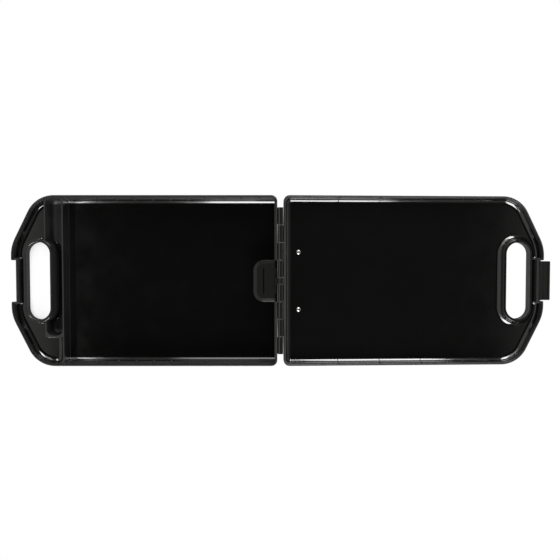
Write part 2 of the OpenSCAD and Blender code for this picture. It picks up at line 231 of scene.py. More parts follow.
def rect(u0, u1, y0, y1, radius=0.0):
    """Corners of a rectangle, each with its radius."""
    return [((u0, y0), radius), ((u1, y0), radius), ((u1, y1), radius), ((u0, y1), radius)]


def beside(u, half, side, span, radius=0.0):
    """Corners of a small rectangle near one side of the box, where side is -1 or 1."""
    near, far = sorted(side * y for y in span)
    return rect(u - half, u + half, near, far, radius)


def half_corners(inset):
    """Corners of a half's outline, drawn in evenly by inset."""
    side = HALF_W - inset
    end = END_U - inset
    shoulder = math.cos(SLANT) * (END_U - SHOULDER_R) + math.sin(SLANT) * END_FLAT / 2
    reach = shoulder + SHOULDER_R - inset
    upper = [
        ((HINGE_GAP + inset, side), max(HINGE_CORNER_R - inset, LEAST_CORNER_R)),
        (((reach - math.sin(SLANT) * side) / math.cos(SLANT), side), CORNER_R - inset),
        ((end, (reach - math.cos(SLANT) * end) / math.sin(SLANT)), SHOULDER_R - inset),
    ]
    return [((u, -y), r) for (u, y), r in upper] + upper[::-1]


def rounded_face(corners, z):
    """A new bmesh with one flat face, its corners turned to arcs."""
    bm = bmesh.new()
    ring = []
    for i, (point, radius) in enumerate(corners):
        here = Vector((*point, z))
        along = (here - Vector((*corners[i - 1][0], z))).normalized()
        onward = (Vector((*corners[(i + 1) % len(corners)][0], z)) - here).normalized()
        turn = math.atan2(along.cross(onward).z, along.dot(onward))
        back = radius * math.tan(abs(turn) / 2)
        start = bm.verts.new(here - along * back)
        ring.append(start)
        if radius > 0:
            side = Vector((-along.y, along.x, 0)) * math.copysign(radius, turn)
            made = len(bm.verts)
            steps = max(3, math.ceil(abs(math.degrees(turn)) / ARC_STEP))
            bmesh.ops.spin(bm, geom=[start], cent=start.co + side, axis=(0, 0, 1), angle=turn,
                           steps=steps)
            ring += list(bm.verts)[made:]
    bmesh.ops.remove_doubles(bm, verts=ring, dist=0.001)
    bm.faces.new([v for v in ring if v.is_valid])
    return bm


def close(bm):
    """Closes the open ends of a solid and turns its faces outwards."""
    bmesh.ops.holes_fill(bm, edges=[e for e in bm.edges if e.is_boundary], sides=0)
    bmesh.ops.recalc_face_normals(bm, faces=bm.faces)
    return bm


def carry(bm, steps):
    """Carries the one face of bm on through the steps, and closes the solid that it trails."""
    bm.normal_update()
    top = bm.faces[:][0]
    if top.normal.z < 0:
        top.normal_flip()
    for inset, rise in steps:
        bmesh.ops.inset_region(bm, faces=[top], thickness=inset, depth=rise,
                               use_even_offset=True, use_boundary=True)
    return close(bm)


def lofted(corners, z, steps):
    """A closed solid that starts as a flat face at z and follows the steps."""
    return carry(rounded_face(corners, z), steps)


def clear_beyond(bm, point, way):
    """Cuts bm by a plane through a point, and clears what lies on the side that way points to."""
    geom = bm.verts[:] + bm.edges[:] + bm.faces[:]
    bmesh.ops.bisect_plane(bm, geom=geom, dist=0.0001, plane_co=point, plane_no=way,
                           clear_outer=True)


def part_of_half(inset, z, steps, cuts, corner=0.3):
    """A solid over the part of a half's outline that is left by the cuts, each of which is a point
    and the way that it clears."""
    bm = rounded_face(half_corners(inset), z)
    for (u, y), way in cuts:
        clear_beyond(bm, (u, y, z), (*way, 0))
    sharp = [v for v in bm.verts if v.calc_edge_angle(0) > math.radians(30)]
    bmesh.ops.bevel(bm, geom=sharp, affect="VERTICES", offset=corner, offset_type="OFFSET",
                    segments=6, profile=0.5, material=-1)
    return carry(bm, steps)


def bar(radius, y0, y1):
    """A round bar along Y with eased ends."""
    length = y1 - y0 - 2 * BAR_END_R
    steps = [*bend(BAR_END_R, 0, 90, 3), (0, length), *bend(BAR_END_R, 90, 180, 3)]
    inner = radius - BAR_END_R
    bm = lofted(rect(-inner, inner, -inner, inner, inner), y0, steps)
    bmesh.ops.rotate(bm, verts=bm.verts, matrix=Matrix.Rotation(math.radians(-90), 3, "X"))
    bmesh.ops.recalc_face_normals(bm, faces=bm.faces)
    return bm


def cut_off(bm, u):
    """Cuts a solid flat, and keeps what is further along than u."""
    clear_beyond(bm, (u, 0, 0), (-1, 0, 0))
    return close(bm)


def shifted(bm, u=0.0, y=0.0, z=0.0):
    """Moves a solid."""
    bmesh.ops.translate(bm, verts=bm.verts, vec=(u, y, z))
    return bm


def solid(name, *parts):
    """One object that holds several closed solids."""
    whole = bmesh.new()
    for part in parts:
        carrier = bpy.data.meshes.new(name)
        part.to_mesh(carrier)
        part.free()
        whole.from_mesh(carrier)
        bpy.data.meshes.remove(carrier)
    mesh = bpy.data.meshes.new(name)
    whole.to_mesh(mesh)
    whole.free()
    # an empty place for each finish, so that the marks on a tool last through its cut
    for _ in (POLISHED, DRAWN_AND_SHEEN, SOFT_AND_SHADED):
        mesh.materials.append(None)
    made = bpy.data.objects.new(name, mesh)
    bpy.context.scene.collection.objects.link(made)
    return made


def walled(tool, floor_too=False, end_finish=DRAWN_AND_SHEEN):
    """Marks the upright faces that a tool leaves with the drawn finish, whose greyer black is
    painted sheen, and its floor too if asked. The faces towards the handle get end_finish."""
    for face in tool.data.polygons:
        if face.normal.x > ENDWAYS:
            face.material_index = end_finish
        elif floor_too or abs(face.normal.z) < UPRIGHT:
            face.material_index = DRAWN_AND_SHEEN
    return tool


def work(piece, operations):
    """Cuts and joins tools on a piece in turn, and clears the tools away."""
    for operation, tool in operations:
        boolean = piece.modifiers.new(tool.name, "BOOLEAN")
        boolean.operation = operation
        boolean.solver = "MANIFOLD"
        boolean.object = tool
        tool.hide_render = True
    depsgraph = bpy.context.evaluated_depsgraph_get()
    worked = bpy.data.meshes.new_from_object(piece.evaluated_get(depsgraph))
    piece.modifiers.clear()
    piece.data = worked
    for _, tool in operations:
        bpy.data.objects.remove(tool)
    return piece


def settle(piece, place, body, slot, materials, *nodes):
    """Sets a finished piece into the frame, on its body, in place of the CAD nodes that it stands
    for. Each face takes the material with the number of its finish, or the last if there are
    fewer."""
    bm = bmesh.new()
    bm.from_mesh(piece.data)
    piece.data.materials.clear()
    for material in materials:
        piece.data.materials.append(material)
    bmesh.ops.transform(bm, matrix=place, verts=bm.verts)
    bmesh.ops.recalc_face_normals(bm, faces=bm.faces)
    for face in bm.faces:
        face.smooth = True
        face.material_index = min(face.material_index, len(materials) - 1)
    bm.to_mesh(piece.data)
    bm.free()
    piece.data.set_sharp_from_angle(angle=CREASE)
    piece.modifiers.new("even_shading", "WEIGHTED_NORMAL").keep_sharp = True
    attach(piece, body)
    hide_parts(*nodes)


def knuckle_spans(first):
    """Ends across the box of every second knuckle, from knuckle 0 or 1, but for the middle one."""
    long = (HINGE_LEN - MID_KNUCKLE) / (KNUCKLES - 1)
    spans = []
    for i in range(first, KNUCKLES, 2):
        if i == MIDDLE_KNUCKLE:
            continue
        if i < MIDDLE_KNUCKLE:
            low = HINGE_LEN / 2 - (i + 1) * long
        else:
            low = -HINGE_LEN / 2 + (KNUCKLES - 1 - i) * long
        spans.append((low + KNUCKLE_GAP / 2, low + long - KNUCKLE_GAP / 2))
    return spans


def arm(y0, y1):
    """An arm from a knuckle to its wall, just below the hinge axis."""
    foot_r = 0.6
    steps = [*bend(foot_r, 0, 90, 3), (0, 2.1), *bend(0.5, 90, 180, 3)]
    return lofted(rect(*ARM, y0 + foot_r, y1 - foot_r, 0.3), -KNUCKLE_R, steps)


def pin_bore(name, top):
    """Cutter for the hinge pin's bore, at height top."""
    return solid(name, shifted(bar(PIN_BORE_R, -PIN_BORE_HALF, PIN_BORE_HALF), z=top))


def hinge_tools(name, first, top):
    """Knuckles and their arms, as tools to join to a half whose hinge axis is at height top."""
    spans = knuckle_spans(first)
    arms = [shifted(arm(*span), z=top) for span in spans]
    knuckles = [shifted(bar(KNUCKLE_R, *span), z=top) for span in spans]
    return [
        ("UNION", solid(name + "_arms", *arms)),
        ("UNION", solid(name + "_knuckles", *knuckles)),
        ("DIFFERENCE", pin_bore(name + "_bore", top)),
    ]


# ---------------------------------------------------------------------------
# Materials
# ---------------------------------------------------------------------------
def colour(hex_code):
    """Linear colour of an sRGB hex value."""
    channels = [int(hex_code[i:i + 2], 16) / 255 for i in (1, 3, 5)]
    linear = [c / 12.92 if c <= 0.04045 else ((c + 0.055) / 1.055) ** 2.4 for c in channels]
    return (*linear, 1.0)


def add_node(tree, kind, inputs=None, **settings):
    """Adds a node with its settings, and sets or links its inputs."""
    made = tree.nodes.new(kind)
    for name, value in settings.items():
        setattr(made, name, value)
    for name, value in (inputs or {}).items():
        if isinstance(value, bpy.types.NodeSocket):
            tree.links.new(value, made.inputs[name])
        else:
            made.inputs[name].default_value = value
    return made


def new_material(name):
    """A new material and its empty node tree."""
    made = bpy.data.materials.new(name)
    made.use_nodes = True
    made.node_tree.nodes.clear()
    return made, made.node_tree


def between(tree, value, low, high):
    """0 below low, 1 above high, and a ramp between them."""
    ramp = add_node(tree, "ShaderNodeMapRange", {
        "Value": value, "From Min": low, "From Max": high})
    return ramp.outputs["Result"]


def roughness_from(tree, noise, smoothest, roughest):
    """Roughness that follows a noise, most of which lies between 0.3 and 0.7."""
    ramp = add_node(tree, "ShaderNodeMapRange", {
        "Value": noise, "From Min": 0.3, "From Max": 0.7, "To Min": smoothest,
        "To Max": roughest})
    return ramp.outputs["Result"]


def moulded_plastic(name, half, base, smoothest, roughest):
    """Black polystyrene with the skin that its part of the mould leaves. The rims are rubbed to a
    satin finish by the other half, and there they are also tinted a paler grey as painted sheen,
    for the light that their tops catch; the walls of the hand slot keep the dull grain of an eroded
    core pin."""
    side, lean, rubbed_sheen_heights = half
    made, tree = new_material(name)
    place = add_node(tree, "ShaderNodeTexCoord").outputs["Object"]
    from_hinge = add_node(tree, "ShaderNodeVectorMath", {
        0: place, 1: (hinge.x, 0, hinge.z)}, operation="SUBTRACT").outputs[0]
    axes = add_node(tree, "ShaderNodeSeparateXYZ", {0: from_hinge})
    above = add_node(tree, "ShaderNodeMath", {
        0: axes.outputs["X"], 1: math.tan(lean), 2: axes.outputs["Z"]},
        operation="MULTIPLY_ADD").outputs[0]
    along = add_node(tree, "ShaderNodeMath", {
        0: axes.outputs["X"], 1: side}, operation="MULTIPLY").outputs[0]
    # distance from the slot's middle line, which is straight for its length less its round ends
    to_slot = add_node(tree, "ShaderNodeVectorMath", {
        0: from_hinge, 1: (side * SLOT_U * MM, 0, 0)}, operation="SUBTRACT").outputs[0]
    folded = add_node(tree, "ShaderNodeVectorMath", {0: to_slot}, operation="ABSOLUTE").outputs[0]
    past_line = add_node(tree, "ShaderNodeVectorMath", {
        0: folded, 1: (0, (SLOT_HALF_L - SLOT_HALF_W) * MM, 0)},
        operation="SUBTRACT").outputs[0]
    outside = add_node(tree, "ShaderNodeVectorMath", {
        0: past_line, 1: (0, 0, 0)}, operation="MAXIMUM").outputs[0]
    flat = add_node(tree, "ShaderNodeVectorMath", {
        0: outside, 1: (1, 1, 0)}, operation="MULTIPLY").outputs[0]
    away = add_node(tree, "ShaderNodeVectorMath", {
        0: flat}, operation="LENGTH").outputs["Value"]
    in_slot = between(tree, away, (SLOT_HALF_W + 0.3) * MM, (SLOT_HALF_W + 0.15) * MM)
    off_collar = between(tree, away, (COLLAR_HALF_W + 0.3) * MM, (COLLAR_HALF_W + 0.8) * MM)
    off_hinge = between(tree, along, HINGE_GAP * MM, (HINGE_GAP + 0.4) * MM)
    on_rim = between(tree, above, *[height * MM for height in rubbed_sheen_heights])
    rubbed_and_sheen = add_node(tree, "ShaderNodeMath", {
        0: on_rim, 1: off_hinge}, operation="MULTIPLY").outputs[0]
    rubbed_and_sheen = add_node(tree, "ShaderNodeMath", {
        0: rubbed_and_sheen, 1: off_collar}, operation="MULTIPLY").outputs[0]
    # slow haze of the polish, about 36 mm across
    haze = add_node(tree, "ShaderNodeTexNoise", {
        "Vector": place, "Scale": 28.0, "Detail": 3.0, "Roughness": 0.6}).outputs["Fac"]
    # rubbing marks are about 0.1 mm; they are drawn at 0.8 mm, so that they show
    grain = add_node(tree, "ShaderNodeTexNoise", {
        "Vector": place, "Scale": 1250.0, "Detail": 2.0}).outputs["Fac"]
    polish = roughness_from(tree, haze, smoothest, roughest)
    satin = roughness_from(tree, grain, 0.36, 0.48)
    rubbed = add_node(tree, "ShaderNodeMix", {
        "Factor": rubbed_and_sheen, "A": polish, "B": satin}).outputs[0]
    rough = add_node(tree, "ShaderNodeMix", {
        "Factor": in_slot, "A": rubbed, "B": 0.85}).outputs[0]
    # the rims take #0e0e0d, a paler grey that is painted sheen for the light their tops catch,
    # where they are also rubbed to satin
    tint_with_rim_sheen = add_node(tree, "ShaderNodeMix", {
        "Factor": rubbed_and_sheen, 6: colour(base), 7: colour("#0e0e0d")}, data_type="RGBA").outputs[2]
    waves = add_node(tree, "ShaderNodeBump", {
        "Height": haze, "Strength": 0.2, "Distance": 0.04 * MM})
    skin = add_node(tree, "ShaderNodeBsdfPrincipled", {
        "Base Color": tint_with_rim_sheen, "Roughness": rough, "IOR": 1.59, "Specular IOR Level": 1.0,
        "Normal": waves.outputs["Normal"]})
    add_node(tree, "ShaderNodeOutputMaterial", {"Surface": skin.outputs["BSDF"]})
    return made


def grained_finish(name, hex_code, roughness, grain_mm, metallic=0.0, bump=0.1,
                   stretch=(1, 1, 1)):
    """A finish with an even grain. roughness is (smoothest, roughest), and stretch draws the grain
    out."""
    made, tree = new_material(name)
    place = add_node(tree, "ShaderNodeTexCoord")
    drawn = add_node(tree, "ShaderNodeMapping", {
        "Vector": place.outputs["Object"], "Scale": stretch})
    grain = add_node(tree, "ShaderNodeTexNoise", {
        "Vector": drawn.outputs["Vector"], "Scale": 1000 / grain_mm, "Detail": 3.0})
    rough = roughness_from(tree, grain.outputs["Fac"], *roughness)
    darker = [0.85 * c for c in colour(hex_code)[:3]] + [1.0]
    shade = add_node(tree, "ShaderNodeMix", {
        "Factor": grain.outputs["Fac"], 6: darker, 7: colour(hex_code)}, data_type="RGBA")
    relief = add_node(tree, "ShaderNodeBump", {
        "Height": grain.outputs["Fac"], "Strength": bump, "Distance": 0.05 * MM})
    skin = add_node(tree, "ShaderNodeBsdfPrincipled", {
        "Base Color": shade.outputs[2], "Roughness": rough, "Metallic": metallic,
        "Normal": relief.outputs["Normal"], "IOR": 1.5})
    add_node(tree, "ShaderNodeOutputMaterial", {"Surface": skin.outputs["BSDF"]})
    return made


# each half's way along X from the hinge, its lean, and the heights over the hinge where its rims
# start to be rubbed and tinted with painted sheen, and are so all over
OF_TRAY = (-1, 0.0, (-3.4, -2.9))
OF_LID = (1, droop, (-0.6, -0.2))

# high gloss polystyrene out of a polished mould: near black, and it mirrors the lamps with crisp
# edges
tray_plastic = moulded_plastic("polished_polystyrene_tray", OF_TRAY, "#080808", 0.07, 0.13)
lid_plastic = moulded_plastic("polished_polystyrene_lid", OF_LID, "#080808", 0.07, 0.13)
# the same plastic where it is drawn off the core: a dull finish, and a slightly greyer black that
# is painted sheen for the grey that the upright walls and the pen compartment's floor catch from
# the lamps
tray_walls_sheen = moulded_plastic("drawn_polystyrene_sheen_tray", OF_TRAY, "#0c0c0c", 0.46, 0.58)
lid_walls_sheen = moulded_plastic("drawn_polystyrene_sheen_lid", OF_LID, "#0c0c0c", 0.46, 0.58)
# the same on the long divider's face towards the hinge: a roughness between the two, and a black
# darker than the drawn walls that is painted shade, as that face turns away from the lamps at the
# sides
divider_side_shaded = moulded_plastic("soft_polystyrene_shaded_tray", OF_TRAY, "#0a0a0a", 0.3, 0.4)
# satin black plastic of the guard: fine even sheen, a little lighter than the polished halves
guard_plastic = grained_finish("satin_polypropylene", "#1a1a19", (0.16, 0.26), 0.6)
# the latch is the same plastic, a little rougher, and painted a little paler as painted sheen for
# the light that its plate catches
latch_plastic = grained_finish("polypropylene_painted_sheen", "#1c1c1b", (0.2, 0.34), 0.6)
# drawn steel wire: silvery, with drawing lines along the wire
pin_steel = grained_finish("drawn_steel", "#b4b4b6", (0.18, 0.32), 0.5, 1.0, 0.1, (1, 0.05, 1))
# bright nickel on pressed sheet: almost a mirror, slightly warm, with faint pressing haze
clip_steel = grained_finish("nickel_plated_sheet", "#cfccc6", (0.1, 0.2), 3.0, 1.0, 0.05)
# oil-tempered spring wire: dark grey with a dull shine
spring_steel = grained_finish("spring_wire", "#6e6e72", (0.25, 0.4), 0.4, 1.0, 0.1)
# bright aluminium of the rivets: pale silver with a soft sheen
rivet_metal = grained_finish("rivet_aluminium", "#e2e0da", (0.12, 0.25), 0.8, 1.0, 0.05)
# matt moulded rubber of the grips: black, and no clear reflection
rubber = grained_finish("moulded_rubber", "#161616", (0.6, 0.8), 0.5, 0.0, 0.3)


# ---------------------------------------------------------------------------
# Cutters and solids that the halves are made with
# ---------------------------------------------------------------------------
def pocket_steps(fillet, floor, mouth, flare=FLARE, draft=DRAFT):
    """Walls of a pocket: a round at the floor, a drafted wall, an eased mouth and a run past it."""
    rise = mouth + PAST - floor - fillet - flare
    return [*bend(fillet, 0, 90, 8), (-draft, rise), *bend(flare, 90, 0, 3), (0, 5.0)]


def main_pocket():
    """Cutter for the main compartment. Its section, with wide rounds along the sides, is drawn from
    end to end, where the rounds are small."""
    low_side = HALF_W - WALL - DRAFT - END_FILLET
    high_side = HALF_W - WALL + 0.2 - END_FILLET
    floor = TRAY_FLOOR + END_FILLET
    above = STEP_Z + 12
    side_r = FILLET - END_FILLET
    section = [((-low_side, floor), side_r), ((low_side, floor), side_r),
               ((high_side, above), 0.0), ((-high_side, above), 0.0)]
    start = HINGE_GAP + WALL
    length = DIVIDER[0] - start - 2 * END_FILLET
    pocket = lofted(section, start, [
        *bend(END_FILLET, 0, 90), (0, length), *bend(END_FILLET, 90, 180)])
    end_on = Matrix(((0, 0, 1), (1, 0, 0), (0, 1, 0)))
    bmesh.ops.rotate(pocket, verts=pocket.verts, matrix=end_on)
    return pocket


def main_mouth():
    """Cutter that eases the upper edge of the main compartment."""
    side = HALF_W - WALL - PAST
    outline = rect(HINGE_GAP + WALL + PAST, DIVIDER[0] - PAST, -side, side, END_FILLET)
    return lofted(outline, STEP_Z + PAST - FLARE, [*bend(FLARE, 90, 0, 3), (0, 5.0)])


def pen_pocket():
    """Cutter for the pen compartment, between the two dividers and down to the cross rib."""
    drawn = DRAFT + FILLET
    return part_of_half(
        WALL + drawn, TRAY_FLOOR, pocket_steps(FILLET, TRAY_FLOOR, STEP_Z),
        [((DIVIDER[1] + drawn, 0), (-1, 0)), ((SHORT_DIVIDER[0] - drawn, 0), (1, 0)),
         ((0, CROSS_RIB[1] + drawn), (0, -1))])


def web_pocket():
    """Cutter for the space over the raised web, as deep as its top."""
    draft = DRAFT / 2
    drawn = draft + WEB_FILLET
    return part_of_half(
        WALL + drawn, WEB_TOP, pocket_steps(WEB_FILLET, WEB_TOP, STEP_Z, draft=draft),
        [((DIVIDER[1] + drawn, 0), (-1, 0))])


def pen_block():
    """What the web pocket leaves standing: the corner of the pen compartment, with a round at its
    foot."""
    drawn = PEN_BLOCK_DRAFT + FOOT_FILLET
    outline = rect(BEFORE_DIVIDER, SHORT_DIVIDER[1] + drawn, CROSS_RIB[0] - drawn, PAST_SIDE,
                   drawn + 1.0)
    rise = STEP_Z - WEB_TOP - FOOT_FILLET - FLARE
    return lofted(outline, WEB_TOP - SUNK, [
        (0, SUNK), *bend(FOOT_FILLET, 180, 90, 8), (PEN_BLOCK_DRAFT, rise),
        *bend(FLARE, 90, 180, 3), (0, 6.0)])


def under_web():
    """Cutter for the hollow beneath the raised web, round the pen compartment and the notch."""
    steps = [(DRAFT / 2, WEB_LOW + 1.0 - 2.0), *bend(2.0, 90, 180, 4)]
    hollow = solid("hollow", part_of_half(WALL, -1.0, steps, [((DIVIDER[1], 0), (-1, 0))], 3.0))
    pen_base = rect(BEFORE_DIVIDER, SHORT_DIVIDER[1], CROSS_RIB[0], PAST_SIDE, 3.0)
    notch_half = NOTCH_HALF + WALL
    notch_base = rect(NOTCH_U - WALL, 390, -notch_half, notch_half, 3.0)
    return work(hollow, [
        ("DIFFERENCE", solid("pen_base", lofted(pen_base, -2.0, [(0, 40)]))),
        ("DIFFERENCE", solid("notch_base", lofted(notch_base, -2.0, [(0, 40)]))),
    ])


def collar(base, top, fillet, draft):
    """Solid that fills the collar round the handle slot, with a round at its foot."""
    u = COLLAR_HALF_W + draft + fillet
    y = COLLAR_HALF_L + draft + fillet
    top_r = 0.6
    steps = [(0, SUNK), *bend(fillet, 180, 90, 8), (draft, top - base - fillet - top_r),
             *bend(top_r, 90, 180, 4)]
    return lofted(rect(SLOT_U - u, SLOT_U + u, -y, y, u), base - SUNK, steps)


def web_collar():
    """The round at the collar's foot on the raised web."""
    u = COLLAR_HALF_W + 0.25 + FOOT_FILLET
    y = COLLAR_HALF_L + 0.25 + FOOT_FILLET
    foot = lofted(rect(SLOT_U - u, SLOT_U + u, -y, y, u), WEB_TOP - SUNK, [
        (0, SUNK), *bend(FOOT_FILLET, 180, 90, 6), (1.5, 0.6)])
    return cut_off(foot, SHORT_DIVIDER[0] + 0.9)


def slot_cut(low, high):
    """Cutter for the handle slot, with an eased upper edge."""
    edge_r = 0.8
    steps = [(0, high - edge_r - low + PAST), *bend(edge_r, 90, 0, 4), (0, 4.0)]
    half_w, half_l = SLOT_HALF_W, SLOT_HALF_L
    return lofted(rect(SLOT_U - half_w, SLOT_U + half_w, -half_l, half_l, half_w), low, steps)


def notch_wall(floor, top, fillet):
    """Wall round the latch notch, with a round at its foot and a part below the floor."""
    drawn = WALL + NOTCH_DRAFT + fillet
    inner, outer, half = NOTCH_U - drawn, END_U - 0.6, NOTCH_HALF + drawn
    corners = [((inner, -half), drawn), ((outer, -half), 0.0),
               ((outer, half), 0.0), ((inner, half), drawn)]
    steps = [(0, SUNK), *bend(fillet, 180, 90, 8), (NOTCH_DRAFT, top - floor - fillet - FLARE),
             *bend(FLARE, 90, 180, 3)]
    return lofted(corners, floor - SUNK, steps)


def notch_cut(low, high):
    """Cutter for the latch notch, with eased upper and outer edges."""
    out = END_U + 0.05
    far = out + 4
    outer_r = 2.0
    wide = NOTCH_HALF + 6
    corners = [((NOTCH_U, -NOTCH_HALF), NOTCH_R), ((out, -NOTCH_HALF), outer_r),
               ((out, -wide), 0.0), ((far, -wide), 0.0), ((far, wide), 0.0), ((out, wide), 0.0),
               ((out, NOTCH_HALF), outer_r), ((NOTCH_U, NOTCH_HALF), NOTCH_R)]
    steps = [(0, high - low - FLARE + PAST), *bend(FLARE, 90, 0, 3), (0, 4.0)]
    return lofted(corners, low, steps)


# ---------------------------------------------------------------------------
# Pieces
# ---------------------------------------------------------------------------
def make_tray():
    """The deep half, with its dividers, raised web, slot collar, ribs, catch and knuckles."""
    body = solid("tray_moulding", lofted(half_corners(DRAFT + TRAY_FOOT_R), 0.0, [
        *bend(TRAY_FOOT_R, 0, 90), (-DRAFT, TRAY_RIM - TRAY_FOOT_R - TRAY_RIM_R),
        *bend(TRAY_RIM_R, 90, 180, 3)]))
    step_steps = [(-0.2, TRAY_RIM - STEP_Z - FLARE + PAST), *bend(FLARE, 90, 0, 3), (0, 5.0)]
    rib_steps = [(0.3, STEP_Z - RIB_FOOT - 0.4), *bend(0.4, 90, 180, 3)]
    ribs = [lofted(beside(u, RIB_HALF, side, RIB_SPAN, 0.8), RIB_FOOT, rib_steps)
            for side in (-1, 1) for u in RIBS]
    rim_half = NOTCH_HALF + STEP_IN
    notch_rim = rect(NOTCH_U - STEP_IN, END_U - 0.8, -rim_half, rim_half, STEP_IN)
    rim_steps = [(0, TRAY_RIM - WEB_TOP - FLARE), *bend(FLARE, 90, 180, 3)]
    gate = rect(0, HINGE_GAP + WALL + 0.5, -GATE_HALF, GATE_HALF)
    catch = rect(NOTCH_U - 1, CATCH_U, -NOTCH_HALF + 0.3, NOTCH_HALF - 0.3, 0.3)
    catch_steps = [*bend(0.4, 0, 90, 3), (0, 1.8), *bend(0.4, 90, 180, 3)]
    over_web = work(solid("web_pocket", web_pocket()), [
        ("DIFFERENCE", solid("pen_block", pen_block()))])
    return work(body, [
        ("DIFFERENCE", solid("step", lofted(half_corners(STEP_IN + 0.2), STEP_Z, step_steps))),
        # the divider's face towards the hinge takes the soft finish, whose darker black is painted
        # shade
        ("DIFFERENCE", walled(solid("main_pocket", main_pocket()), end_finish=SOFT_AND_SHADED)),
        ("DIFFERENCE", solid("main_mouth", main_mouth())),
        ("DIFFERENCE", walled(solid("pen_pocket", pen_pocket()), floor_too=True)),
        ("DIFFERENCE", walled(over_web)),
        ("UNION", walled(solid("ribs", *ribs))),
        ("UNION", walled(solid("notch_wall", notch_wall(WEB_TOP, STEP_Z, FOOT_FILLET)))),
        ("UNION", solid("notch_rim", lofted(notch_rim, WEB_TOP, rim_steps))),
        ("UNION", walled(solid("collar", collar(TRAY_FLOOR, TRAY_RIM, COLLAR_FILLET, DRAFT)))),
        ("UNION", solid("web_collar", web_collar())),
        ("DIFFERENCE", under_web()),
        ("DIFFERENCE", solid("slot", slot_cut(-2.0, TRAY_RIM))),
        ("DIFFERENCE", solid("notch", notch_cut(-2.0, TRAY_RIM))),
        ("DIFFERENCE", solid("gate", lofted(gate, GATE_FLOOR, [(0, 20)]))),
        ("UNION", solid("catch", lofted(catch, TRAY_H - 5.6, catch_steps))),
        *hinge_tools("tray", 0, TRAY_H),
    ])


def make_lid():
    """The shallow half, with its rim lip, slot collar, fins at the lip's breaks and knuckles."""
    body = solid("lid_moulding", lofted(half_corners(LID_DRAFT + LID_FOOT_R), -LID_H, [
        *bend(LID_FOOT_R, 0, 90), (-LID_DRAFT, LID_H + LID_RIM - LID_FOOT_R - LID_RIM_R),
        *bend(LID_RIM_R, 90, 180, 3)]))
    over_rim = [(0, 6.0)]
    fin_low = LID_FLOOR - 0.6
    fin_steps = [(0, 10.9), *bend(0.3, 90, 180, 3)]
    foot_steps = [(0, 1.6), (0.3, 0.8)]
    breaks, fins, fin_feet = [], [], []
    for side in (-1, 1):
        for u in LIP_BREAKS:
            gap = beside(u, LIP_BREAK_HALF, side, LIP_BREAK_SPAN)
            breaks.append(lofted(gap, LID_RIM, over_rim))
            fins.append(lofted(beside(u, FIN_HALF, side, FIN_SPAN), fin_low, fin_steps))
            foot = beside(u, FIN_HALF, side, FIN_FOOT_SPAN)
            fin_feet.append(lofted(foot, fin_low, foot_steps))
    lip_steps = [(0, 1 + LIP_TOP - LIP_R), *bend(LIP_R, 90, 180, 3)]
    pocket = lofted(half_corners(WALL + LID_DRAFT + LID_FILLET), LID_FLOOR, pocket_steps(
        LID_FILLET, LID_FLOOR, LIP_TOP, flare=0.3, draft=LID_DRAFT))
    hinge_end = rect(0, HINGE_GAP + HINGE_CORNER_R, -LIP_OPEN_HALF, LIP_OPEN_HALF)
    notch_half = NOTCH_HALF + WALL
    notch_end = rect(NOTCH_U - WALL - 2, END_U + 5, -notch_half, notch_half)
    field = lofted(rect(*FIELD, 4.0), LID_FLOOR - 1, [(0, 1.0), (3.0, 0.3)])
    ejector_marks = [
        lofted(rect(u - r, u + r, y - r, y + r, r), LID_FLOOR - 0.09, [(0, 0.05), (-0.06, 0.06)])
        for u, y, r in EJECTOR_MARKS]
    return work(body, [
        ("UNION", solid("lip", lofted(half_corners(LIP_IN), -1.0, lip_steps))),
        ("DIFFERENCE", walled(solid("pocket", pocket))),
        ("DIFFERENCE", solid("hinge_end", lofted(hinge_end, LID_RIM, over_rim))),
        ("DIFFERENCE", solid("notch_end", lofted(notch_end, LID_RIM, over_rim))),
        ("DIFFERENCE", solid("breaks", *breaks)),
        ("UNION", solid("field", field)),
        ("UNION", walled(solid("fins", *fins))),
        ("UNION", solid("fin_feet", *fin_feet)),
        ("DIFFERENCE", solid("ejector_marks", *ejector_marks)),
        ("UNION", walled(solid("collar", collar(LID_FLOOR, LID_RIM, LID_COLLAR_FILLET, 0.2)))),
        ("UNION", walled(solid("notch_wall", notch_wall(LID_FLOOR, LID_RIM, LID_NOTCH_FILLET)))),
        ("DIFFERENCE", solid("slot", slot_cut(-LID_H - 1, LID_RIM))),
        ("DIFFERENCE", solid("notch", notch_cut(-LID_H - 1, LID_RIM))),
        *hinge_tools("lid", 1, 0.0),
    ])


def lobe(back, tip, half, radius):
    """Corners of a D with its round side at the tip."""
    return [((back, -half), 1.0), ((tip, -half), radius),
            ((tip, half), radius), ((back, half), 1.0)]


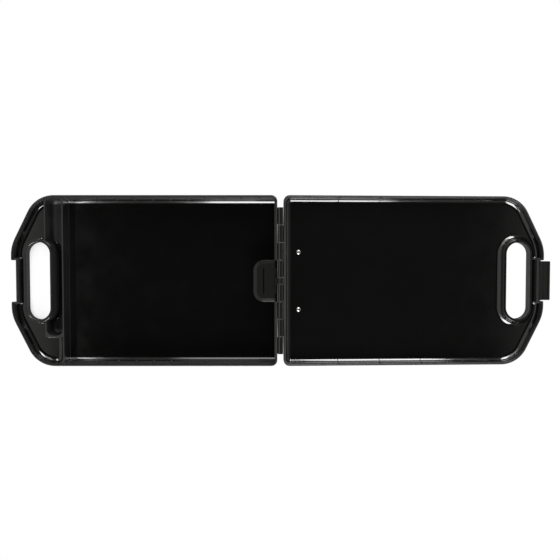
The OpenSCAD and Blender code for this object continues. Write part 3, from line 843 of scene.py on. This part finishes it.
def make_guard():
    """D-shaped hood over the paper, with its neck through the gate and its knuckle on the pin."""
    slope = [*bend(0.5, 90, 168, 4), (4.2, 0.9), (0.6, 0.06)]
    drop = sum(rise for _, rise in slope)
    hood = lofted(lobe(-10.0, GUARD_TIP, GUARD_HALF, GUARD_LOBE_R), GUARD_LOW, [
        (0, GUARD_H - drop), *slope])
    body = solid("paper_hood", cut_off(hood, GUARD_START))
    hollow = lofted(
        lobe(-14.0, GUARD_TIP - GUARD_WALL, GUARD_HALF - GUARD_WALL, GUARD_LOBE_R - GUARD_WALL),
        21.0, [(0, 9.0), (3.5, 1.0)])
    arm_half = MID_KNUCKLE / 2 - KNUCKLE_GAP / 2
    top_bend = bend(0.4, 90, 180, 3)
    neck = rect(*GUARD_NECK, -GUARD_NECK_HALF, GUARD_NECK_HALF, 1.0)
    slot = rect(*GUARD_SLOT, -GUARD_SLOT_HALF, GUARD_SLOT_HALF, 0.6)
    riser = rect(*GUARD_RISER, -arm_half, arm_half, 0.5)
    return work(body, [
        ("DIFFERENCE", solid("under_hood", cut_off(hollow, GUARD_START + GUARD_WALL))),
        ("UNION", solid("neck", lofted(neck, 26.3, [(0, 6.4), *top_bend]))),
        ("DIFFERENCE", solid("slot", lofted(slot, 20, [(0, 20)]))),
        ("UNION", solid("riser", lofted(riser, 27.0, [(0, 12.4), *top_bend]))),
        ("UNION", solid("arm", shifted(arm(-arm_half, arm_half), z=TRAY_H))),
        ("UNION", solid("knuckle", shifted(bar(KNUCKLE_R, -arm_half, arm_half), z=TRAY_H))),
        ("DIFFERENCE", pin_bore("bore", TRAY_H)),
    ])


def make_latch():
    """Latch plate with its barrel, root and hook, all about its pin."""
    wide = LATCH_HALF
    plate = lofted(rect(*LATCH_PLATE, -wide + 0.5, wide - 0.5, 0.8), -3.8, [
        *bend(0.5, 0, 90, 3), (0, 1.4), *bend(0.5, 90, 180, 3)])
    root = lofted(rect(*LATCH_ROOT, -wide + 0.1, wide - 0.1, 0.4), -3.6, [(0, 3.7)])
    hook = lofted(rect(*LATCH_HOOK, -wide + 0.15, wide - 0.15, 0.7), -3.5, [
        (0, 4.9), *bend(0.6, 90, 180, 3)])
    latch = work(solid("latch_plate", plate), [
        ("UNION", solid("root", root)),
        ("UNION", solid("barrel", bar(LATCH_BARREL_R, -wide, wide))),
        ("UNION", solid("hook", hook)),
        ("DIFFERENCE", solid("bore", bar(LATCH_BORE_R, -wide - 2, wide + 2))),
    ])
    latch.data.transform(Matrix.Translation((LATCH_PIN[0], 0, LATCH_PIN[1])))
    return latch


def rivet_head(u, y, z, way):
    """A domed rivet head with a small drawn hole in its crown."""
    r = RIVET_R
    head = lofted(rect(-r, r, -r, r, r), -0.3, [
        (0, 0.6), (0.15, 0.4), (0.4, 0.45), (0.8, 0.42), (0.85, 0.23),
        (0.3, -0.05), (0.2, -0.5), (0.02, -0.5)])
    if way < 0:
        bmesh.ops.rotate(head, verts=head.verts, matrix=Matrix.Rotation(math.pi, 3, "X"))
    return shifted(head, u, y, z)


def make_rivets():
    """Two rivets, each with a head inside the lid and one on the clip's base plate."""
    return solid("rivet_heads", *[
        rivet_head(RIVET_U, side * RIVET_Y, z, way)
        for side in (-1, 1)
        for z, way in ((LID_FLOOR, 1), (-LID_H - CLIP_SHEET, -1))])


def node_copy(node):
    """A welded copy of a CAD node, in metres."""
    bm = bmesh.new()
    bm.from_mesh(frame["nodes"][node].data)
    bmesh.ops.remove_doubles(bm, verts=bm.verts, dist=0.001 * MM)
    return bm


def eased(name, node, width):
    """A CAD node with its flat faces made whole and its sharp outer edges eased."""
    bm = node_copy(node)
    bmesh.ops.dissolve_limit(bm, verts=bm.verts, edges=bm.edges, angle_limit=math.radians(1))
    sharp = [e for e in bm.edges if e.is_convex and e.calc_face_angle(0) > math.radians(35)]
    bmesh.ops.bevel(bm, geom=sharp, affect="EDGES", offset=width * MM, offset_type="OFFSET",
                    segments=2, profile=0.5, material=-1, clamp_overlap=True)
    return solid(name, bm)


def ring_beside(bm, verts):
    """The vertices one edge away from these, in the mesh's own order."""
    near = {edge.other_vert(v) for v in verts for edge in v.link_edges}
    return [v for v in bm.verts if v in near and v not in verts]


def spring_wire(name, leg_only):
    """The spring's leg under the lever, which swings with the lever, or the coil that is left
    without it. The leg also carries a slimmer copy of the wire's last step, hidden in the coil,
    which fills the bend that opens behind it as it swings."""
    bm = node_copy("clip_spring")
    past_coil = joints["jaw_pivot"]["pos_m"][0] - 5 * MM
    leg = [v for v in bm.verts if v.co.y > 0 and v.co.x < past_coil]
    gone = leg
    if leg_only:
        kept = leg + ring_beside(bm, leg)
        last_step = ring_beside(bm, kept)
        middle = sum((v.co for v in last_step), Vector()) / len(last_step)
        for v in last_step:
            v.co = middle + 0.9 * (v.co - middle)
        kept += last_step
        gone = [v for v in bm.verts if v not in kept]
    bmesh.ops.delete(bm, geom=gone, context="VERTS")
    return solid(name, close(bm))


tray_finishes = (tray_plastic, tray_walls_sheen, divider_side_shaded)
settle(make_tray(), IN_TRAY, "tray", "moulded_plastic", tray_finishes, "tray_shell")
settle(make_lid(), IN_LID, "lid", "moulded_plastic", (lid_plastic, lid_walls_sheen), "lid_shell")
settle(make_guard(), IN_TRAY, "tray", "moulded_plastic", (guard_plastic,), "paper_guard")
settle(make_latch(), IN_LID, "latch", "latch_plastic", (latch_plastic,), "latch_flap")
settle(make_rivets(), IN_LID, "lid", "rivet_metal", (rivet_metal,), "clip_rivets")
for name, node, width, body, slot, material in (
        ("hinge_wire", "hinge_pin", 0.3, "tray", "pin_steel", pin_steel),
        ("latch_wire", "latch_pin", 0.3, "lid", "pin_steel", pin_steel),
        ("clip_plate", "clip_base", 0.25, "lid", "clip_steel", clip_steel),
        ("clip_lever", "clip_jaw", 0.25, "jaw", "clip_steel", clip_steel),
        ("clip_grips", "jaw_grips", 0.2, "jaw", "grip_rubber", rubber),
        ("clip_axle", "clip_rod", 0.3, "lid", "clip_steel", clip_steel)):
    settle(eased(name, node, width), AS_PLACED, body, slot, (material,), node)
coil = spring_wire("clip_coil", leg_only=False)
settle(coil, AS_PLACED, "lid", "spring_steel", (spring_steel,), "clip_spring")
leg = spring_wire("clip_coil_leg", leg_only=True)
settle(leg, AS_PLACED, "jaw", "spring_steel", (spring_steel,))


# ---------------------------------------------------------------------------
# Floor, light and camera
# ---------------------------------------------------------------------------
def make_floor():
    """Plain white floor. It shows white to the camera and in reflections, and keeps the object's
    shadow."""
    bm = bmesh.new()
    bmesh.ops.create_grid(bm, x_segments=1, y_segments=1, size=20)
    floor = solid("floor", bm)
    floor.data.transform(Matrix.Translation((hinge.x, 0, -0.0002)))
    made, tree = new_material("white_floor")
    path = add_node(tree, "ShaderNodeLightPath")
    open_sky = add_node(tree, "ShaderNodeAmbientOcclusion", {"Distance": 0.2}, samples=24)
    # the camera sees full white wherever more than a fifth of the sky is open
    shade = add_node(tree, "ShaderNodeMapRange", {
        "Value": open_sky.outputs["AO"], "From Min": 0.0, "From Max": 0.2},
        interpolation_type="SMOOTHSTEP")
    mirrored = add_node(tree, "ShaderNodeMath", {
        0: path.outputs["Is Glossy Ray"], 1: path.outputs["Is Transmission Ray"]},
        operation="MAXIMUM")
    shown = add_node(tree, "ShaderNodeMix", {
        "Factor": mirrored.outputs[0], "A": shade.outputs["Result"],
        "B": open_sky.outputs["AO"]})
    white = add_node(tree, "ShaderNodeEmission", {"Color": shown.outputs[0], "Strength": 1.0})
    seen = add_node(tree, "ShaderNodeMath", {
        0: path.outputs["Is Camera Ray"], 1: mirrored.outputs[0]}, operation="MAXIMUM")
    paint = add_node(tree, "ShaderNodeBsdfDiffuse", {"Color": (0.8, 0.8, 0.8, 1)})
    mix = add_node(tree, "ShaderNodeMixShader", {
        0: seen.outputs[0], 1: paint.outputs[0], 2: white.outputs[0]})
    add_node(tree, "ShaderNodeOutputMaterial", {"Surface": mix.outputs[0]})
    floor.data.materials.clear()
    floor.data.materials.append(made)


def grey_ramp(tree, value, stops):
    """Faintly warm grey levels for a value, each given as (value, level)."""
    low, high = stops[0][0], stops[-1][0]
    ramp = add_node(tree, "ShaderNodeValToRGB", {"Fac": between(tree, value, low, high)})
    elements = ramp.color_ramp.elements
    while len(elements) < len(stops):
        elements.new(0.5)
    for element, (at, level) in zip(elements, stops):
        element.position = (at - low) / (high - low)
        element.color = (level, 0.985 * level, 0.95 * level, 1)
    return ramp.outputs["Color"]


def make_world():
    """Studio round the box: dark overhead, paler towards both ends and the horizon, and white to
    the camera. The height ramp runs from the horizon (0) to overhead (1), and the ramp of the ends
    from the tray's end (below 0) to the lid's (above 0)."""
    world = bpy.data.worlds.new("studio")
    bpy.context.scene.world = world
    world.use_nodes = True
    tree = world.node_tree
    tree.nodes.clear()
    place = add_node(tree, "ShaderNodeTexCoord")
    axes = add_node(tree, "ShaderNodeSeparateXYZ", {0: place.outputs["Generated"]})
    height = grey_ramp(tree, axes.outputs["Z"], [
        (0.0, 0.32), (0.35, 0.2), (0.7, 0.11), (0.86, 0.05), (0.94, 0.008), (1.0, 0.008)])
    ends = grey_ramp(tree, axes.outputs["X"], [
        (-0.5, 0.4), (-0.3, 0.38), (-0.248, 0.26), (-0.234, 0.012), (0.0, 0.008), (0.18, 0.02),
        (0.372, 0.02), (0.39, 0.15), (0.46, 0.15), (0.52, 0.06), (0.6, 0.05)])
    level = add_node(tree, "ShaderNodeMix", {
        "Factor": 1.0, 6: height, 7: ends}, data_type="RGBA", blend_type="LIGHTEN")
    path = add_node(tree, "ShaderNodeLightPath")
    shown = add_node(tree, "ShaderNodeMix", {
        "Factor": path.outputs["Is Camera Ray"], 6: level.outputs[2], 7: (1, 1, 1, 1)},
        data_type="RGBA")
    back = add_node(tree, "ShaderNodeBackground", {"Color": shown.outputs[2], "Strength": 1.0})
    add_node(tree, "ShaderNodeOutputWorld", {"Surface": back.outputs[0]})


def softbox(name, place, aim, width, height, radiance):
    """A rectangular lamp that faces the aim. Its power follows its area, so radiance is how bright
    it looks."""
    lamp = bpy.data.lights.new(name, "AREA")
    lamp.shape = "RECTANGLE"
    lamp.size = width
    lamp.size_y = height
    lamp.energy = radiance * math.pi * width * height
    made = bpy.data.objects.new(name, lamp)
    made.location = place
    made.rotation_euler = (Vector(aim) - Vector(place)).to_track_quat("-Z", "Y").to_euler()
    bpy.context.scene.collection.objects.link(made)


def make_camera():
    """Camera above the open box, tipped three degrees, with the shift that centres the box."""
    lens = bpy.data.cameras.new("camera")
    lens.lens = 58.1
    lens.sensor_width = 36.0
    lens.shift_y = 0.0605
    made = bpy.data.objects.new("camera", lens)
    made.location = (0.1877, 0.020, 1.29)
    made.rotation_euler = (math.radians(-3.0), 0, 0)
    bpy.context.scene.collection.objects.link(made)
    bpy.context.scene.camera = made


make_floor()
make_world()
LAMP_HEIGHT = 1.0
for name, x, y, width, radiance in (
        ("near_light", 0.34, -1.3, 0.8, 9),
        ("far_light", 0.69, 1.3, 0.48, 9),
        ("far_fill", 0.15, 1.3, 0.6, 1.7),
        ("near_strip", -0.50, -1.3, 0.08, 8),
        ("far_strip", -0.48, 1.3, 0.06, 8)):
    softbox(name, (x, y, LAMP_HEIGHT), (x, 0, 0), width, 1.2, radiance)
make_camera()
bpy.context.scene.view_settings.view_transform = "Standard"
